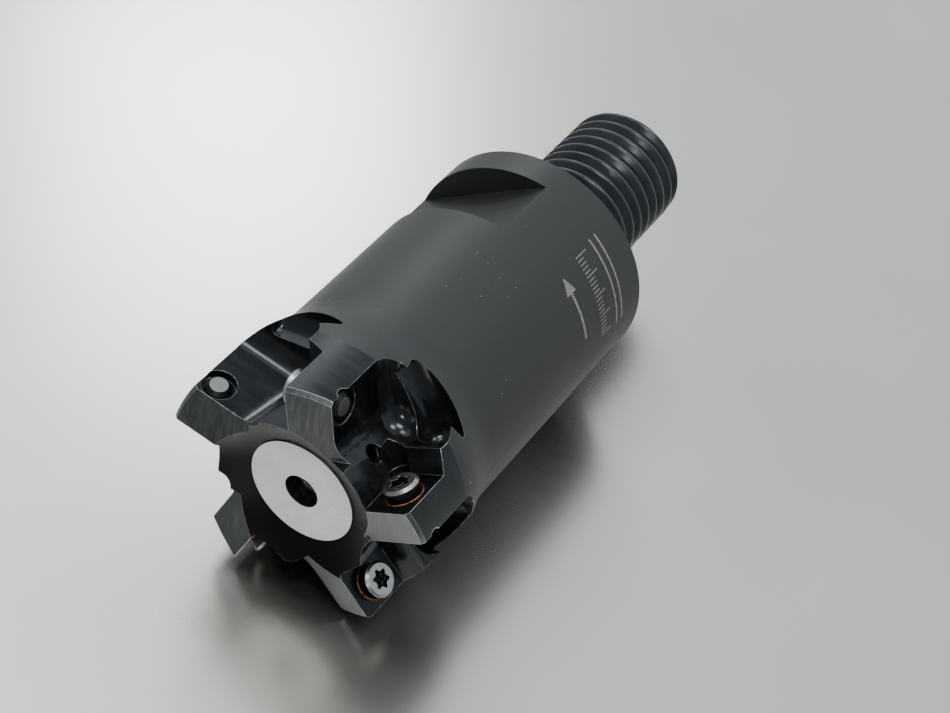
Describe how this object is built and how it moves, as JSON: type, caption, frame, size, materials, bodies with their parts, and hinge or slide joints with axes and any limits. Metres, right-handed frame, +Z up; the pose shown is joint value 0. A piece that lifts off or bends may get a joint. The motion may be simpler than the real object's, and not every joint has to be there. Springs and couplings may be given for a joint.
{
  "type": "screw-in indexable face mill",
  "caption": "Indexable face milling cutter body with a threaded screw-in shank, wrench flats, empty insert seats with screws, chip gullets and coolant outlets.",
  "frame": {"origin": "on the tool axis, in the plane of the rear seating shoulder", "axes": "+Y along the tool axis from the cutting end to the threaded shank, +Z up as the tool lies, +X to the right seen from the cutting end towards the shank"},
  "size_m": [0.0318, 0.0745, 0.0314],
  "materials": {
    "black_oxide_steel": "black-oxide satin",
    "plug_steel": "blackened",
    "screw_steel": "bright satin",
    "copper_paste": "dried copper paste"
  },
  "bodies": {
    "tool": {"cutter_body": "black_oxide_steel", "coolant_plug": "plug_steel"},
    "bead_1": {"paste_ring_1": "copper_paste"},
    "screw_1": {"insert_screw_1": "screw_steel"},
    "bead_2": {"paste_ring_2": "copper_paste"},
    "screw_2": {"insert_screw_2": "screw_steel"},
    "bead_3": {"paste_ring_3": "copper_paste"},
    "screw_3": {"insert_screw_3": "screw_steel"},
    "bead_4": {"paste_ring_4": "copper_paste"},
    "screw_4": {"insert_screw_4": "screw_steel"},
    "bead_5": {"paste_ring_5": "copper_paste"},
    "screw_5": {"insert_screw_5": "screw_steel"}
  },
  "joints": [
    {"name": "screw_1_travel", "type": "slide", "parent": "tool", "child": "bead_1", "axis": [-0.1426, 0, -0.9898], "range_m": [0, 0.004]},
    {"name": "screw_1_turn", "type": "hinge", "parent": "bead_1", "child": "screw_1", "pos_m": [-0.01307, -0.0475, 0.00188], "axis": [-0.1426, 0, -0.9898], "range_deg": [0, 2881]},
    {"name": "screw_2_travel", "type": "slide", "parent": "tool", "child": "bead_2", "axis": [-0.9882, 0, -0.153], "range_m": [0, 0.004]},
    {"name": "screw_2_turn", "type": "hinge", "parent": "bead_2", "child": "screw_2", "pos_m": [-0.00202, -0.0475, 0.01304], "axis": [-0.9882, 0, -0.153], "range_deg": [0, 2881]},
    {"name": "screw_3_travel", "type": "slide", "parent": "tool", "child": "bead_3", "axis": [-0.512, 0, 0.859], "range_m": [0, 0.004]},
    {"name": "screw_3_turn", "type": "hinge", "parent": "bead_3", "child": "screw_3", "pos_m": [0.01134, -0.0475, 0.00676], "axis": [-0.512, 0, 0.859], "range_deg": [0, 2881]},
    {"name": "screw_4_travel", "type": "slide", "parent": "tool", "child": "bead_4", "axis": [0.6972, 0, 0.7169], "range_m": [0, 0.004]},
    {"name": "screw_4_turn", "type": "hinge", "parent": "bead_4", "child": "screw_4", "pos_m": [0.00946, -0.0475, -0.0092], "axis": [0.6972, 0, 0.7169], "range_deg": [0, 2881]},
    {"name": "screw_5_travel", "type": "slide", "parent": "tool", "child": "bead_5", "axis": [0.9121, 0, -0.4099], "range_m": [0, 0.004]},
    {"name": "screw_5_turn", "type": "hinge", "parent": "bead_5", "child": "screw_5", "pos_m": [-0.00541, -0.0475, -0.01204], "axis": [0.9121, 0, -0.4099], "range_deg": [0, 2881]}
  ],
  "couplings": [
    {"joint": "screw_1_turn", "follows": "screw_1_travel", "rad_per_m": 12566},
    {"joint": "screw_2_turn", "follows": "screw_2_travel", "rad_per_m": 12566},
    {"joint": "screw_3_turn", "follows": "screw_3_travel", "rad_per_m": 12566},
    {"joint": "screw_4_turn", "follows": "screw_4_travel", "rad_per_m": 12566},
    {"joint": "screw_5_turn", "follows": "screw_5_travel", "rad_per_m": 12566}
  ]
}
